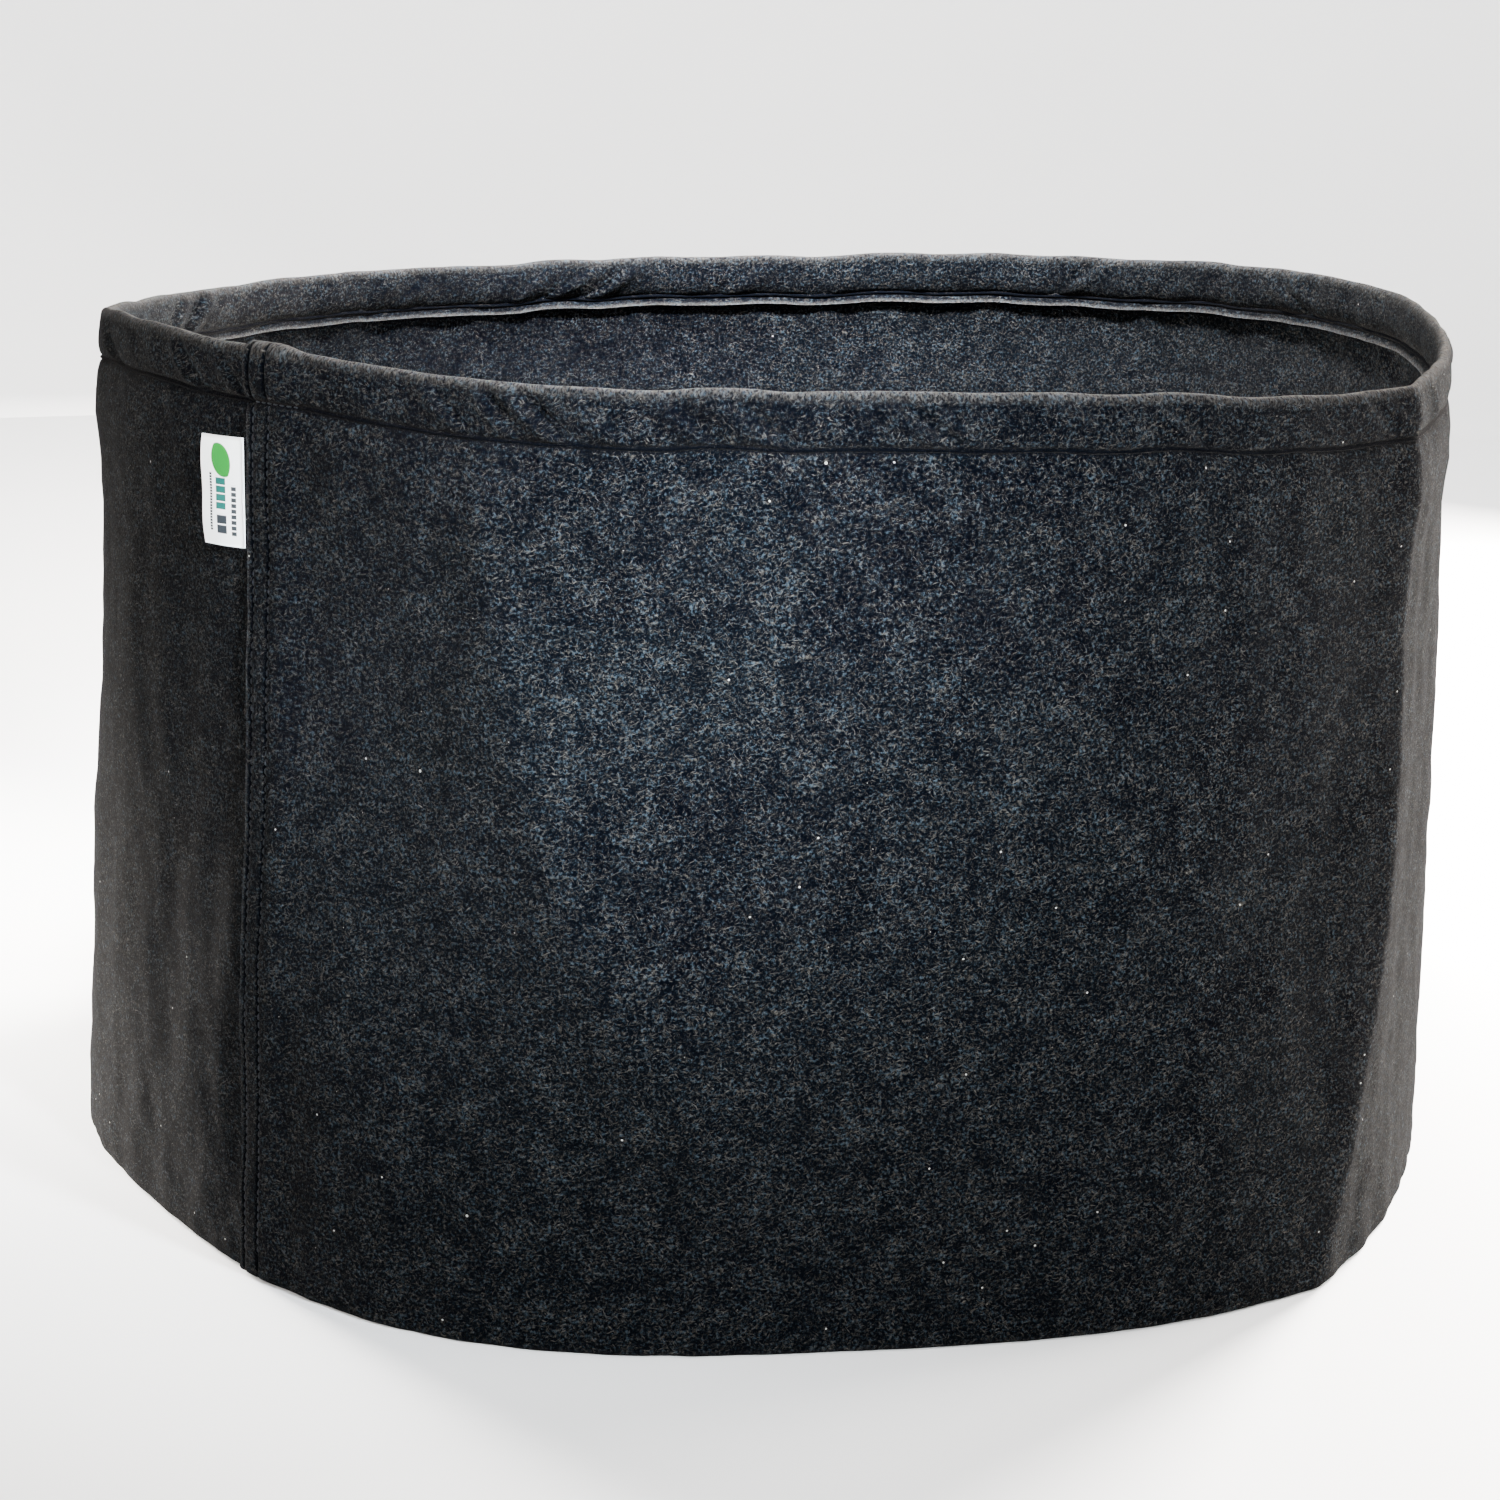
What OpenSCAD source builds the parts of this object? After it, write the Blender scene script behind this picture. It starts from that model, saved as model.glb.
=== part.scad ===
// Round fabric grow bag: a felt wall lapped at one side seam, hemmed at the rim and sewn to a felt
// base, with a folded tape label caught in the side seam.
// The origin is the centre of the underside, +Z is up, and the side seam faces -Y.

/* [Bag] */
// Outside diameter of the bag
bag_d = 800; // [300:1:1000]
// Height of the bag from its underside to the rim
bag_h = 490; // [200:1:600]
// Thickness of the felt
felt_t = 3; // [2:0.1:4]

/* [Hem] */
// Depth of the felt folded inward at the rim
hem_depth = 34; // [20:1:60]
// Drop from the rim to the hem's row of stitches
hem_row_drop = 28; // [12:1:50]

/* [Side seam] */
// Width of the lapped felt
lap_w = 20; // [18:0.5:40]
// Distance from the lap's raw edge to the first row of stitches
row_inset = 4; // [3:0.5:6]
// Distance between the two rows of stitches
row_gap = 12; // [6:0.5:13]

/* [Base] */
// Height of the felt turned up inside where the base joins the wall
turn_up = 13; // [9:0.5:20]
// Height of the row of stitches that joins the base to the wall
base_row_z = 8; // [7:0.5:8]
// Outside radius of the base panel's rounded edge
base_corner_r = 5; // [4:0.5:6]

/* [Thread] */
// Diameter of the sewing thread
thread_d = 1; // [0.6:0.1:1.2]

/* [Label] */
// Length of the label from the seam to its folded end
label_w = 31; // [20:1:60]
// Height of the label
label_h = 57; // [30:1:80]
// Drop from the rim to the label's top edge
label_drop = 40; // [36:1:100]
// Thickness of the label's tape
tape_t = 0.5; // [0.3:0.1:0.8]
// Angle between the label and the wall
label_angle = 3; // [0:1:30]

/* [Hidden] */
$fn = 240;
bag_r = bag_d / 2;
// Gap left between folded or lapped layers of felt
layer_gap = 0.4;
// Pitch from one layer of felt to the next
layer = felt_t + layer_gap;
// Outside radius of a felt fold, and the radius of the circle on which folds are centred
fold_r = felt_t + layer_gap / 2;
fold_at = bag_r - fold_r;
// Radii of the lap's outer face, the flap's inner face and the base panel's turned-up edge
lap_r = bag_r + layer;
flap_r = bag_r - felt_t - layer;
base_r = flap_r - layer_gap;
// Angle that an arc of length w spans on the wall
function span(w) = w / bag_r * 180 / PI;
// The lap starts at -Y and runs towards +X
seam_a = -90;
lap_a = span(lap_w);
step_a = span(felt_t);
row_z0 = turn_up + 9;
row_z1 = bag_h - hem_depth - 6;
hem_row_z = bag_h - hem_row_drop;
lap_z0 = fold_r + 2;
lap_z1 = bag_h - fold_r - 2;
thread_r = thread_d / 2;
groove_r = thread_r + 0.1;
// Depth of a grooved thread's centre below the felt's face, and height of a loose one's above it
sink = 0.3;
proud = thread_r + 0.05;
thread_colour = [0.13, 0.15, 0.17];
// Half the folded tape's thickness, and the clearance between it and the corner of the lap it turns about
tape_half = tape_t * 1.5;
label_clear = 0.15;

// Ring of felt between two radii and two heights, drawn as its section
module strip(r_in, r_out, z0, z1) {
    translate([r_in, z0]) square([r_out - r_in, z1 - z0]);
}

// Section of a fold that joins two layers of felt; up is 1 for the rim and -1 for the bottom
module fold(z, up) {
    translate([fold_at, z]) difference() {
        circle(r = fold_r, $fn = 64);
        circle(r = layer_gap / 2, $fn = 64);
        translate([-2 * fold_r, up > 0 ? -2 * fold_r : 0]) square([4 * fold_r, 2 * fold_r]);
    }
}

// Section of a groove that a row of stitches pulls into the felt
module groove(face_r, z) {
    translate([face_r, z]) circle(r = groove_r, $fn = 24);
}

// Section of the wall, from the folded rim to the turned-up bottom edge
module wall_section() {
    difference() {
        union() {
            strip(bag_r - felt_t, bag_r, fold_r, bag_h - fold_r);
            strip(flap_r, flap_r + felt_t, bag_h - hem_depth, bag_h - fold_r);
            strip(flap_r, flap_r + felt_t, fold_r, turn_up);
            fold(bag_h - fold_r, 1);
            fold(fold_r, -1);
        }
        groove(flap_r + sink, hem_row_z);
        groove(flap_r + felt_t - sink, base_row_z);
    }
}

// Sweep of a section through an angle that starts at the lap's raw edge
module arc_from_seam(start, angle) {
    rotate([0, 0, seam_a + start]) rotate_extrude(angle = angle) children();
}

// Full ring of thread
module thread_ring(ring_r, z) {
    rotate_extrude() translate([ring_r, z]) circle(r = thread_r, $fn = 24);
}

// Arc of thread that starts at an angle past the lap's raw edge
module thread_arc(ring_r, z, start, angle) {
    arc_from_seam(start, angle) translate([ring_r, z]) circle(r = thread_r, $fn = 24);
}

// Upright thread on a face of the side seam, at a distance from the lap's raw edge
module seam_thread(ring_r, along) {
    color(thread_colour) rotate([0, 0, seam_a + span(along)])
        translate([ring_r, 0, row_z0]) cylinder(r = thread_r, h = row_z1 - row_z0, $fn = 24);
}

module wall_panel() {
    color([0.21, 0.24, 0.26]) {
        rotate_extrude() wall_section();
        arc_from_seam(0, lap_a + step_a) strip(bag_r + layer_gap, lap_r, lap_z0, lap_z1);
        arc_from_seam(lap_a + 0.03, step_a - 0.06)
            strip(bag_r - felt_t / 2, bag_r + felt_t / 2, lap_z0 + 1, lap_z1 - 1);
    }
}

module base_panel() {
    color([0.18, 0.21, 0.23]) rotate_extrude() difference() {
        union() {
            square([base_r - base_corner_r, felt_t]);
            translate([base_r - base_corner_r, base_corner_r]) intersection() {
                difference() {
                    circle(r = base_corner_r, $fn = 64);
                    circle(r = base_corner_r - felt_t, $fn = 64);
                }
                translate([0, -base_corner_r]) square(base_corner_r);
            }
            strip(base_r - felt_t, base_r, base_corner_r, turn_up);
        }
        groove(base_r - felt_t + sink, base_row_z);
    }
}

// One arc runs round the wall from one side of the lap to the other, and a second crosses the lap
module hem_needle_thread() {
    color(thread_colour) {
        thread_arc(bag_r + proud, hem_row_z, lap_a + step_a + 0.05, 359.9 - lap_a - step_a);
        thread_arc(lap_r + proud, hem_row_z, 0.05, lap_a + step_a - 0.1);
    }
}

module hem_bobbin_thread() {
    color(thread_colour) thread_ring(flap_r + sink, hem_row_z);
}

module edge_row_needle_thread() {
    seam_thread(lap_r + proud, row_inset);
}

module edge_row_bobbin_thread() {
    seam_thread(bag_r - felt_t - proud, row_inset);
}

module inner_row_needle_thread() {
    seam_thread(lap_r + proud, row_inset + row_gap);
}

module inner_row_bobbin_thread() {
    seam_thread(bag_r - felt_t - proud, row_inset + row_gap);
}

module base_needle_thread() {
    color(thread_colour) thread_ring(base_r - felt_t + sink, base_row_z);
}

module base_bobbin_thread() {
    color(thread_colour) thread_ring(flap_r + felt_t - sink, base_row_z);
}

// Tape folded back on itself; it turns about an upright line just outside the lap's raw edge
module label() {
    fold_x = tape_half - label_w;
    translate([-tape_half - label_clear, -lap_r - tape_half - label_clear,
               bag_h - label_drop - label_h])
        rotate([0, 0, label_angle]) color([0.95, 0.98, 0.98])
            linear_extrude(height = label_h) difference() {
                union() {
                    translate([fold_x, -tape_half]) square([-fold_x, 2 * tape_half]);
                    translate([fold_x, 0]) circle(r = tape_half, $fn = 32);
                }
                translate([fold_x, -tape_t / 2]) square([label_w, tape_t]);
                translate([fold_x, 0]) circle(r = tape_t / 2, $fn = 32);
            }
}

wall_panel();
base_panel();
hem_needle_thread();
hem_bobbin_thread();
edge_row_needle_thread();
edge_row_bobbin_thread();
inner_row_needle_thread();
inner_row_bobbin_thread();
base_needle_thread();
base_bobbin_thread();
label();
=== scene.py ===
"""Round fabric grow bag: a lapped, hemmed felt wall on a felt base, with its stitches and label."""
import math

import bpy
import numpy as np
from mathutils import Matrix


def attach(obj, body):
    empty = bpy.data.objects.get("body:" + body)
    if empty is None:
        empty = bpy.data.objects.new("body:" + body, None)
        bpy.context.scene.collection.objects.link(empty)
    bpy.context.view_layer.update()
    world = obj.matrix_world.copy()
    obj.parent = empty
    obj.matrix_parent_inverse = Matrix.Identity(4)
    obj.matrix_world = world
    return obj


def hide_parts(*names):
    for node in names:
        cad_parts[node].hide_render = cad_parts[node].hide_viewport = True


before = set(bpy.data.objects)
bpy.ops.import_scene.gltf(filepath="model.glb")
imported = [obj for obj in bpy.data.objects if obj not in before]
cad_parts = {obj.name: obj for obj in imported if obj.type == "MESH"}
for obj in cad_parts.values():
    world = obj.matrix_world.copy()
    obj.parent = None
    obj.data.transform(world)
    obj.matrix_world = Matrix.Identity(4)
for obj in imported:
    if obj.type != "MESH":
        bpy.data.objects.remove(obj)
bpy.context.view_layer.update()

# ---------------------------------------------------------------- camera
AZIMUTH = math.radians(43.0)        # the camera stands this far round from -Y towards +X
CENTRE_Y = -0.008                   # plan centre of the standing bag
DISTANCE, EYE_Z = 1.968, 0.693
PITCH, ROLL = math.radians(13.46), math.radians(1.0)
FOCAL_MM = 79.5                     # on a 36 mm sensor
AIM_SHIFT = -0.0123


def make_camera():
    """The photograph's view: a long lens to the right of the side seam, a little above the rim."""
    right = np.array([math.cos(AZIMUTH), math.sin(AZIMUTH), 0.0])
    ahead = np.array([-math.sin(AZIMUTH), math.cos(AZIMUTH), 0.0])
    look = ahead * math.cos(PITCH) - np.array([0, 0, math.sin(PITCH)])
    up = np.cross(right, look)
    x_axis = right * math.cos(ROLL) + up * math.sin(ROLL)
    y_axis = up * math.cos(ROLL) - right * math.sin(ROLL)
    place = np.array([0, CENTRE_Y, EYE_Z]) - ahead * DISTANCE
    data = bpy.data.cameras.new("camera")
    data.lens, data.sensor_width, data.shift_x = FOCAL_MM, 36.0, AIM_SHIFT
    data.clip_start, data.clip_end = 0.05, 50
    cam = bpy.data.objects.new("camera", data)
    bpy.context.collection.objects.link(cam)
    cam.matrix_world = Matrix([[x_axis[i], y_axis[i], -look[i], place[i]] for i in range(3)]
                              + [[0, 0, 0, 1]])
    bpy.context.scene.camera = cam


make_camera()

# ---------------------------------------------------------------- sizes, in metres
R = 0.400                           # nominal outside radius of the wall
H = 0.490
FELT = 0.003
GAP = 0.0004                        # between folded or lapped layers of felt
FOLD_R = FELT / 2 + GAP / 2         # radius of the middle of a folded felt sheet
HEM_DEPTH, HEM_ROW_DROP = 0.034, 0.028
HEM_ROW_Z = H - HEM_ROW_DROP
TURN_UP = 0.013
BASE_ROW_Z = 0.008
LAP_W = 0.020
SEAM_ROWS = (0.004, 0.016)          # distance of each row of stitches from the lap's raw edge
RIM_R, FOOT_R = 0.3916, 0.4085      # the soft wall stands a little narrower at the rim
GIRTH = 2 * math.pi * R
THREAD_R = 0.00042
STITCH_PITCH, STITCH_ARCH = 0.0046, 0.0003
rng = np.random.default_rng(65)


def smooth(x, lo, hi):
    t = np.clip((x - lo) / (hi - lo), 0, 1)
    return t * t * (3 - 2 * t)


def bump(x, centre, width):
    return np.exp(-((x - centre) / width) ** 2)


def unit(v):
    return v / np.linalg.norm(v, axis=-1, keepdims=True)


class Lumps:
    """Smooth random relief over the wall: waves that fit a whole number of times round it."""

    def __init__(self, count, longest, shortest, stretch=1.0):
        size = np.exp(rng.uniform(math.log(shortest), math.log(longest), count))
        turn = rng.uniform(0, 2 * math.pi, count)
        self.k = np.round(GIRTH / size * np.cos(turn))
        self.q = 2 * math.pi / size * np.sin(turn) / stretch
        self.phase = rng.uniform(0, 2 * math.pi, count)
        self.gain = size / longest
        self.norm = math.sqrt(2 / (self.gain ** 2).sum())

    def __call__(self, s, v):
        a = np.asarray(s) / GIRTH * 2 * math.pi
        out = 0
        for k, q, p, g in zip(self.k, self.q, self.phase, self.gain):
            out = out + g * np.sin(k * a + q * np.asarray(v) + p)
        return out * self.norm


broad = Lumps(14, 0.40, 0.10)
felt_lumps = Lumps(40, 0.060, 0.014)
edge_waver = Lumps(12, 0.30, 0.03, 1e6)
flap_waver = Lumps(14, 0.16, 0.015, 1e6)


# creases of the stored bag: degrees round from the camera's side, degrees of lean from the hem to
# the foot, height in metres, degrees in which the crease fades and the share left at both ends
CREASES = [(57.4, -15.0, 0.0140, 7.0, 0.8), (-117.0, 4.0, 0.0080, 9.0, 0.35),
           (152.0, -6.0, 0.0040, 10.0, 0.35)]
# the fold in front, which starts upright under the hem and swings round towards the foot
FOLD_AT, FOLD_HEIGHT = -20.8, 0.0140
FOLD_FADE_LEFT, FOLD_FADE_RIGHT = 8.0, 11.0
# the dip to the left of that fold
DIP_AT, DIP_DEPTH, DIP_WIDTH = -33.0, 0.0040, 7.0
BULGE = 0.0013                      # broad lumps of the standing wall
SWELL, SWELL_Z = 0.0034, HEM_ROW_Z - 0.026
SEAM_HALF = 0.14                    # radians from the side seam in which the wall is stiff
SEAM_BACK = 0.0027                  # the wall lies back here, so that the label can swing
# waves round the foot and of the rim's height: count, height of the cosine, height of the sine
FOOT_WAVES = [(2, 0, -0.0017), (5, -0.0035, -0.0052), (6, -0.0032, -0.0024)]
RIM_WAVES = [(1, 0, 0.0010), (2, 0, -0.0085), (3, 0.0015, 0), (4, 0, 0.0030), (5, 0, 0.0015)]
RIM_WAVER = 0.0006

# slanting ridges in the hem: centre, round from the camera's side, slant and width in degrees, and
# height in metres
ROPES = [
    (-17.6, 4.2, 1.0, 0.0036), (-24.6, 4.0, 0.8, 0.0020), (-20.4, 3.5, 0.7, 0.0018),
    (-13.0, 4.5, 0.9, 0.0014), (-6.8, 4.0, 0.9, 0.0018), (-2.6, 5.0, 1.3, 0.0024),
    (9.3, 5.5, 1.2, 0.0020), (12.5, 5.0, 0.8, 0.0012), (30.0, 5.0, 1.1, 0.0014),
    (52.0, 4.0, 1.0, 0.0005), (84.0, 5.0, 1.5, 0.0012), (118.0, -6.0, 1.2, 0.0012),
    (122.0, -5.0, 1.3, 0.0006), (146.0, 5.0, 1.3, 0.0022), (163.0, 5.0, 1.0, 0.0014),
    (-178.0, 5.0, 1.3, 0.0014), (-163.5, 6.0, 1.0, 0.0032), (-159.0, 6.0, 0.9, 0.0028),
    (-154.5, 5.0, 1.0, 0.0016), (-141.0, 5.0, 1.1, 0.0014), (-110.0, 4.0, 1.1, 0.0026),
    (-105.5, 4.0, 1.0, 0.0020), (-70.0, 4.0, 1.1, 0.0012), (-52.0, 4.0, 1.0, 0.0012),
]
ROPE_GAIN = 1.5
FULL_ROPE = 0.0016                  # lower ridges than this need fewer points round the wall
SMALL_ROPES = 34
for spot in np.linspace(-180, 180, SMALL_ROPES, endpoint=False):
    ROPES.append((spot + rng.uniform(-4, 4), rng.uniform(2.5, 6.5), rng.uniform(0.5, 1.1),
                  rng.uniform(0.0003, 0.0011)))


def camera_angle(a):
    """Radians round from the camera's side, for an angle from -Y."""
    return a - AZIMUTH


def degrees_from(a, centre):
    """Degrees from a place that is given in degrees round from the camera's side."""
    return (np.degrees(camera_angle(a)) - centre + 180) % 360 - 180


def waves(table, f):
    return sum(c * np.cos(n * f) + s * np.sin(n * f) for n, c, s in table)


def crest(x):
    """A ridge with a narrow crest and sides that fade away."""
    return np.exp(-(np.sqrt(x ** 2 + 0.0016) - 0.04))


def front_fold(h):
    """Where the front fold stands at a share of the wall's height."""
    drop = np.clip(0.9 - h, -0.1, 0.75)
    return FOLD_AT + 3 * drop + 31 * drop * np.abs(drop)


def wall_radius(a, z):
    """Outer radius of the standing wall at an angle from -Y and a nominal height."""
    f = camera_angle(a)
    h = np.clip(z / H, 0, 1)
    r = FOOT_R + (RIM_R - FOOT_R) * smooth(h, -0.25, 1.05)
    r = r + (1 - smooth(h, 0.0, 0.8)) * waves(FOOT_WAVES, f)
    body = np.sin(math.pi * h) ** 0.7
    r = r + BULGE * broad(a * R, z) * body
    drop = 0.9 - h
    for centre, lean, height, spread, ends in CREASES:
        at = degrees_from(a, centre + lean * drop * np.abs(drop))
        r = r + height * (ends + (1 - ends) * body) * crest(at / spread)
    at = degrees_from(a, front_fold(h))
    fade = smooth(h, 0.05, 0.45) * (1 - 0.75 * smooth(h, 0.84, 1.0))
    r = r + FOLD_HEIGHT * fade * crest(at / np.where(at < 0, FOLD_FADE_LEFT, FOLD_FADE_RIGHT))
    # the dip turns the stretch left of the front fold away from the light
    r = r - DIP_DEPTH * body * bump(np.degrees(f), DIP_AT + 12 * drop, DIP_WIDTH)
    # the wall swells under the hem's stitches, less at the left and not at the stiff side seam
    seam = bump((a + math.pi) % (2 * math.pi) - math.pi, 0, SEAM_HALF)
    left_end = bump(np.degrees(f), -86, 24)
    r = r + SWELL * bump(z, SWELL_Z, 0.024) * (1 - seam) * (1 - 0.55 * left_end)
    return r - SEAM_BACK * seam * smooth(h, 0.62, 0.82) * (1 - smooth(h, 0.93, 0.99))


def rim_rise(a):
    """How far the rim stands above or below its nominal height."""
    return waves(RIM_WAVES, camera_angle(a)) + RIM_WAVER * edge_waver(a * R, 0)


def roping(a, up):
    """Slanting ridges in the hem; up runs from 0 at the stitches to 1 at the rim."""
    side = np.sin(math.pi * np.clip(up, 0, 1)) ** 0.6
    out = 0
    for centre, slant, width, height in ROPES:
        at = degrees_from(a, centre - slant * (up - 0.5))
        valley = bump(at, width * 1.45, width * 0.42)
        out = out + ROPE_GAIN * height * (bump(at, 0, width) - 1.3 * valley)
    return out * side


# ---------------------------------------------------------------- the wall's sheet
# The sheet's middle line, seen in section, runs from the turned-up bottom edge under the bottom
# fold, up the wall, over the rim and down the flap. Each of its points has an offset inward from
# the wall's outer face, a height, an outward direction and a distance along the sheet.

# spacing of the sheet's points up the wall, in the hem and at the hem's row of stitches
WALL_STEP, HEM_STEP, HEM_ROW_STEP = 0.013, 0.0028, 0.0008
# spacing round the wall: plain, at ridges and creases, at the side seam and at its rows
COLUMN_STEP, RIDGE_STEP, SEAM_STEP, SEAM_ROW_STEP = 0.0085, 0.0036, 0.0018, 0.0008
FOOT_BAND = 0.060                   # the lowest part of the wall, which has closer points
# depth and half width of the groove at the hem's row, of the dent round it and of the seam's grooves
HEM_PULL, HEM_PULL_WIDTH = 0.0017, 0.0012
DIMPLE, DIMPLE_WIDTH = 0.0013, 0.0045
SEAM_PULL, SEAM_PULL_WIDTH = 0.0011, 0.0009
PUFF = 0.0014                       # the hem's layers stand apart between stitches and rim
# how far the flap's raw edge stands off: its mean, its change round the bag and its waver
FLAP_SPRING, SPRING_TURN, SPRING_WAVER = 0.0013, 0.0007, 0.0005
FELT_LUMPS = 0.00035


def even_out(fine, density):
    """Points along fine whose spacing follows the density."""
    run = np.concatenate([[0], np.cumsum((density[1:] + density[:-1]) / 2 * np.diff(fine))])
    return np.interp(np.linspace(0, run[-1], int(run[-1]) + 1), run, fine)


def hem_heights(low, high):
    """Heights in the hem, closer together at its row of stitches."""
    fine = np.linspace(low, high, 400)
    return even_out(fine, 1 / HEM_STEP + 1 / HEM_ROW_STEP * bump(fine, HEM_ROW_Z, 0.0022))


def section_path():
    """Points of the sheet's middle line and their distances along it."""
    mid_wall, mid_flap = -FELT / 2, -FELT / 2 - 2 * FOLD_R
    fold_mid = (mid_wall + mid_flap) / 2
    pts = []
    for z in np.linspace(TURN_UP, FOLD_R + FELT / 2, 5):
        pts.append((mid_flap, z, -1.0, 0.0))
    for t in np.linspace(0, math.pi, 7)[1:-1]:
        pts.append((fold_mid - FOLD_R * math.cos(t), FOLD_R + FELT / 2 - FOLD_R * math.sin(t),
                    -math.cos(t), -math.sin(t)))
    z0, z1, z2 = FOLD_R + FELT / 2, H - HEM_DEPTH - 0.012, H - FOLD_R - FELT / 2
    low = np.concatenate([np.linspace(z0, FOOT_BAND, 10)[:-1],
                          np.linspace(FOOT_BAND, z1, int((z1 - FOOT_BAND) / WALL_STEP) + 1)])
    top = hem_heights(z1, z2)[1:]
    for z in np.concatenate([low, top]):
        pts.append((mid_wall, z, 1.0, 0.0))
    for t in np.linspace(0, math.pi, 9)[1:-1]:
        pts.append((fold_mid + FOLD_R * math.cos(t), z2 + FOLD_R * math.sin(t),
                    math.cos(t), math.sin(t)))
    for z in hem_heights(H - HEM_DEPTH, z2)[::-1]:
        pts.append((mid_flap, z, -1.0, 0.0))
    p = np.array(pts)
    run = np.concatenate([[0], np.cumsum(np.hypot(np.diff(p[:, 0]), np.diff(p[:, 1])))])
    return p, run


def stand(s, rho, z, out_r, out_z, side, lift):
    """Where a point of the sheet stands. s is the distance round from the lap's raw edge, side is
    1 on the face turned outward on the wall and -1 on the other."""
    a = s / R
    facing = np.where(out_r > 0, 1, -1)
    upper = z > H / 2
    on_flap = np.where(rho < -FELT - GAP / 2, 1.0, 0.0)
    hem_up = (z - HEM_ROW_Z) / (HEM_ROW_DROP - 0.002)
    # layers part where the lap is doubled
    off = rho + facing * lift * np.abs(out_r)
    rise = lift * np.maximum(out_z, 0) * 0.8
    # slanting ridges puff both layers of the hem away from each other
    ridge = roping(a, hem_up) * np.where(upper & (hem_up > 0), 1.0, 0.0)
    puff = PUFF * np.sin(math.pi * np.clip(hem_up, 0, 1)) * upper
    off = off + facing * (puff + ridge * np.where(out_r > 0, 1, 0.8))
    # the flap's raw edge springs away from the wall below the stitches
    below = np.clip((HEM_ROW_Z - z) / (HEM_DEPTH - HEM_ROW_DROP), 0, 1.2)
    spring = (FLAP_SPRING + SPRING_TURN * np.sin(camera_angle(a))
              + SPRING_WAVER * flap_waver(s, 0))
    off = off - np.where(upper, on_flap, 0) * spring * below ** 1.3
    # grooves pulled in by the stitches
    row = bump(z, HEM_ROW_Z, HEM_PULL_WIDTH)
    off = off - facing * (HEM_PULL * row + DIMPLE * bump(z, HEM_ROW_Z, DIMPLE_WIDTH)) * upper
    for inset in SEAM_ROWS:
        near = bump(s, inset, SEAM_PULL_WIDTH)
        off = off - SEAM_PULL * near * np.where(out_r > 0.5, 1, 0) * (1 - row)
    half = FELT / 2 * side
    lumps = FELT_LUMPS * felt_lumps(s, z + 3 * on_flap) * (1 - 0.8 * row)
    r = wall_radius(a, z) + off + half * out_r + lumps
    height = z + rise + half * out_z + rim_rise(a) * smooth(z / H, 0.15, 1.0)
    return np.stack([r * np.sin(a), CENTRE_Y - r * np.cos(a), np.maximum(height, 0.0)], -1)


def lap_lift(s):
    """How far the outer layer of the lap stands off the layer under it."""
    return (FELT + GAP) * (1 - smooth(s, LAP_W + 0.001, LAP_W + 0.022))


def columns():
    """Distances round the wall, closer together where the hem is roped and at the side seam."""
    fine = np.linspace(0, GIRTH + LAP_W, 20001)
    a = (fine / R) % (2 * math.pi)
    near = np.zeros_like(fine)
    for centre, slant, width, height in ROPES:
        weight = min(1, height / FULL_ROPE)
        at = degrees_from(a, centre)
        near = np.maximum(near, weight * bump(at, 0, abs(slant) * 0.5 + width * 1.6))
    leaning = [(c[0] + c[1] * 0.3, 2.0 + abs(c[1]) * 0.3) for c in CREASES]
    for centre, width in leaning + [(FOLD_AT + 5, 7.0)]:
        near = np.maximum(near, bump(degrees_from(a, centre), 0, width))
    seam = np.maximum(bump(fine, 0.012, 0.022), bump(fine, GIRTH + 0.004, 0.02))
    rows = sum(bump(fine, inset, 0.0016) for inset in SEAM_ROWS)
    density = (1 / COLUMN_STEP + near * (1 / RIDGE_STEP - 1 / COLUMN_STEP)
               + seam / SEAM_STEP + rows / SEAM_ROW_STEP)
    return even_out(fine, density)


def mesh_object(name, verts, faces, uvs=None):
    """A smooth-shaded mesh object; the uvs are distances on the flat cloth."""
    mesh = bpy.data.meshes.new(name)
    mesh.from_pydata(np.asarray(verts).tolist(), [], [tuple(int(i) for i in f) for f in faces])
    if uvs is not None:
        layer = mesh.uv_layers.new(name="felt_uv")
        loops = np.zeros(len(mesh.loops), dtype=np.int64)
        mesh.loops.foreach_get("vertex_index", loops)
        layer.data.foreach_set("uv", np.asarray(uvs, dtype=np.float32)[loops].ravel())
    mesh.polygons.foreach_set("use_smooth", np.ones(len(mesh.polygons), dtype=bool))
    mesh.validate()
    mesh.update()
    obj = bpy.data.objects.new(name, mesh)
    bpy.context.collection.objects.link(obj)
    return obj


def set_fuzz_and_painted_light(obj, values):
    """Paler fuzz with painted highlight where above 0, flattened felt with painted groove shade
    where below 0, for the felt's material.
    """
    layer = obj.data.attributes.new("fuzz_and_highlight", "FLOAT", "POINT")
    layer.data.foreach_set("value", np.asarray(values, dtype=np.float32))


def grid_faces(rows, cols, start=0, flip=False):
    i, j = np.meshgrid(np.arange(rows - 1), np.arange(cols - 1), indexing="ij")
    a = start + i * cols + j
    quad = np.stack([a, a + 1, a + cols + 1, a + cols], -1).reshape(-1, 4)
    return quad[:, ::-1] if flip else quad


def sheet_faces(cols, rows):
    """Faces of a sheet with two skins of cols x rows points, closed along its four edges."""
    n = cols * rows
    faces = [grid_faces(cols, rows, 0, True), grid_faces(cols, rows, n)]
    i, j = np.arange(cols), np.arange(rows)
    for edge, flip in ((i * rows, False), (i * rows + rows - 1, True),
                       (j, True), ((cols - 1) * rows + j, False)):
        a, b = edge[:-1], edge[1:]
        quad = np.stack([a, b, b + n, a + n], -1)
        faces.append(quad[:, ::-1] if flip else quad)
    return np.concatenate(faces)


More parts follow.
